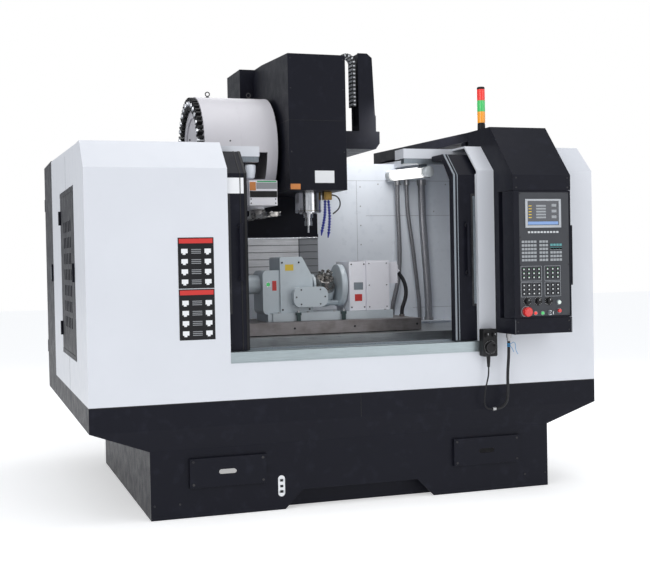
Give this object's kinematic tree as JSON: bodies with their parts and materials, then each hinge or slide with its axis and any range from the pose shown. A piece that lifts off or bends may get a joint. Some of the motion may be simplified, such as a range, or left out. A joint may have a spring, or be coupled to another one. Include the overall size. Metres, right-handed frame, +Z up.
{
  "type": "cnc machining center",
  "caption": "Vertical machining center: open sliding doors, three slides, tilting rotary table, tool changer, swivel operator panel and pendant.",
  "frame": {"origin": "on the floor, under the middle of the base", "axes": "+X to the operator's right along the table, +Y from the operator to the back, +Z up"},
  "size_m": [3.114, 2.9346, 2.771],
  "materials": {
    "white_paint": "smooth white powder coat",
    "black_paint": "fine textured blue-black powder coat",
    "grey_casting": "light grey enamel on casting",
    "bed_iron": "painted casting with ground ways",
    "steel": "brushed sheet steel",
    "table_iron": "ground cast iron",
    "chrome": "polished",
    "window_glass": "clear safety glass",
    "lamp_white": "clear tube over a white tube light",
    "hose_grey": "steel-braided and rubber hose",
    "cord_black": "smooth rubber",
    "chain_plastic": "moulded links",
    "nozzle_blue": "jointed plastic segments",
    "signal_plastic": "stacked coloured lenses",
    "black_plastic": "moulded",
    "red_plastic": "gloss mushroom cap",
    "green_plastic": "lit cap",
    "fitting_metal": "turned nuts"
  },
  "bodies": {
    "machine": {"base_tank": "black_paint", "access_covers": "black_paint", "bed_casting": "bed_iron", "chip_pan": "black_paint", "left_front_panel": "white_paint", "right_front_panel": "white_paint", "front_sill": "white_paint", "side_panels": "white_paint", "roof_panels": "white_paint", "roof_duct": "black_paint", "cabin_liner": "white_paint", "back_panel": "white_paint", "door_track": "black_paint", "column": "black_paint", "chain_post": "black_paint", "magazine_cover": "white_paint", "changer_gearbox": "grey_casting", "operator_housing": "black_paint", "pendant_body": "black_plastic", "pendant_gland": "fitting_metal", "work_lamp": "lamp_white", "signal_tower": "signal_plastic", "hose_fittings": "fitting_metal", "rear_cabinet": "black_paint", "pendant_conduit": "cord_black", "pendant_cable": "cord_black", "hose_a": "hose_grey", "hose_b": "hose_grey", "hose_c": "hose_grey"},
    "left_door": {"left_door": "black_paint", "left_window": "window_glass"},
    "right_door": {"right_door": "black_paint", "right_window": "window_glass"},
    "vent_door": {"vent_door": "black_paint"},
    "cabinet_door": {"cabinet_door": "black_paint"},
    "saddle": {"saddle": "bed_iron", "saddle_cover": "steel"},
    "table": {"table": "table_iron", "rotary_body": "grey_casting", "rotary_drive_box": "grey_casting", "table_hose": "cord_black"},
    "cradle": {"tilt_cradle": "grey_casting"},
    "faceplate": {"faceplate": "chrome"},
    "head": {"spindle_head": "chrome", "head_cover": "black_paint", "coolant_nozzles": "nozzle_blue", "z_cover": "black_paint"},
    "spindle": {"tool_spindle": "chrome"},
    "chain": {"cable_chain": "chain_plastic"},
    "carousel": {"carousel": "steel"},
    "change_arm": {"change_arm": "chrome"},
    "panel": {"operator_panel": "black_paint"},
    "emergency_stop": {"emergency_stop": "red_plastic"},
    "feed_knob": {"feed_knob": "black_plastic"},
    "spindle_knob": {"spindle_knob": "black_plastic"},
    "mode_knob": {"mode_knob": "black_plastic"},
    "power_on_button": {"power_on_button": "green_plastic"},
    "power_off_button": {"power_off_button": "red_plastic"},
    "key_switch": {"key_switch": "chrome"},
    "pendant_wheel": {"pendant_wheel": "black_plastic"}
  },
  "joints": [
    {"name": "left_door_slide", "type": "slide", "parent": "machine", "child": "left_door", "axis": [1, 0, 0], "range_m": [0, 0.643]},
    {"name": "right_door_slide", "type": "slide", "parent": "machine", "child": "right_door", "axis": [-1, 0, 0], "range_m": [0, 0.618]},
    {"name": "vent_door_hinge", "type": "hinge", "parent": "machine", "child": "vent_door", "pos_m": [-1.556, 0.404, 1.36], "axis": [0, 0, -1], "range_deg": [0, 110]},
    {"name": "cabinet_door_hinge", "type": "hinge", "parent": "machine", "child": "cabinet_door", "pos_m": [-1.546, 1.661, 1.32], "axis": [0, 0, -1], "range_deg": [0, 110]},
    {"name": "y_axis", "type": "slide", "parent": "machine", "child": "saddle", "axis": [0, 1, 0], "range_m": [-0.31, 0.19]},
    {"name": "x_axis", "type": "slide", "parent": "saddle", "child": "table", "axis": [1, 0, 0], "range_m": [-0.4, 0.4]},
    {"name": "tilt_axis", "type": "hinge", "parent": "table", "child": "cradle", "pos_m": [0, -0.065, 1.244], "axis": [1, 0, 0], "range_deg": [-34, 56]},
    {"name": "faceplate_axis", "type": "hinge", "parent": "cradle", "child": "faceplate", "pos_m": [0.092, -0.065, 1.244], "axis": [0, -0.5592, 0.829], "continuous": true},
    {"name": "z_axis", "type": "slide", "parent": "machine", "child": "head", "axis": [0, 0, 1], "range_m": [-0.2, 0.04]},
    {"name": "chain_travel", "type": "slide", "parent": "machine", "child": "chain", "axis": [0, 0, 1], "range_m": [-0.1, 0.02]},
    {"name": "spindle_turn", "type": "hinge", "parent": "head", "child": "spindle", "pos_m": [0, -0.047, 1.724], "axis": [0, 0, 1], "continuous": true},
    {"name": "carousel_turn", "type": "hinge", "parent": "machine", "child": "carousel", "pos_m": [-0.59, 0.21, 2.15], "axis": [1, 0, 0], "continuous": true},
    {"name": "arm_swing", "type": "hinge", "parent": "machine", "child": "change_arm", "pos_m": [-0.345, -0.047, 1.7], "axis": [0, 0, 1], "range_deg": [0, 90]},
    {"name": "panel_swing", "type": "hinge", "parent": "machine", "child": "panel", "pos_m": [0.889, -1.213, 1.421], "axis": [0, 0, -1], "range_deg": [0, 75]},
    {"name": "emergency_stop_press", "type": "slide", "parent": "panel", "child": "emergency_stop", "axis": [0, 1, 0], "range_m": [0, 0.004], "stiffness_N_per_m": 1500},
    {"name": "feed_knob_turn", "type": "hinge", "parent": "panel", "child": "feed_knob", "pos_m": [0.959, -1.225, 1.146], "axis": [0, 1, 0], "range_deg": [-140, 140]},
    {"name": "spindle_knob_turn", "type": "hinge", "parent": "panel", "child": "spindle_knob", "pos_m": [1.03, -1.225, 1.146], "axis": [0, 1, 0], "range_deg": [-120, 120]},
    {"name": "mode_knob_turn", "type": "hinge", "parent": "panel", "child": "mode_knob", "pos_m": [1.101, -1.225, 1.146], "axis": [0, 1, 0], "range_deg": [-90, 90]},
    {"name": "power_on_press", "type": "slide", "parent": "panel", "child": "power_on_button", "axis": [0, 1, 0], "range_m": [0, 0.004], "stiffness_N_per_m": 500},
    {"name": "power_off_press", "type": "slide", "parent": "panel", "child": "power_off_button", "axis": [0, 1, 0], "range_m": [0, 0.004], "stiffness_N_per_m": 500},
    {"name": "key_turn", "type": "hinge", "parent": "panel", "child": "key_switch", "pos_m": [1.106, -1.225, 1.076], "axis": [0, 1, 0], "range_deg": [0, 90]},
    {"name": "pendant_wheel_turn", "type": "hinge", "parent": "machine", "child": "pendant_wheel", "pos_m": [0.803, -1.055, 0.872], "axis": [0, 1, 0], "continuous": true}
  ],
  "couplings": [
    {"joint": "chain_travel", "follows": "z_axis", "ratio": 0.5}
  ]
}
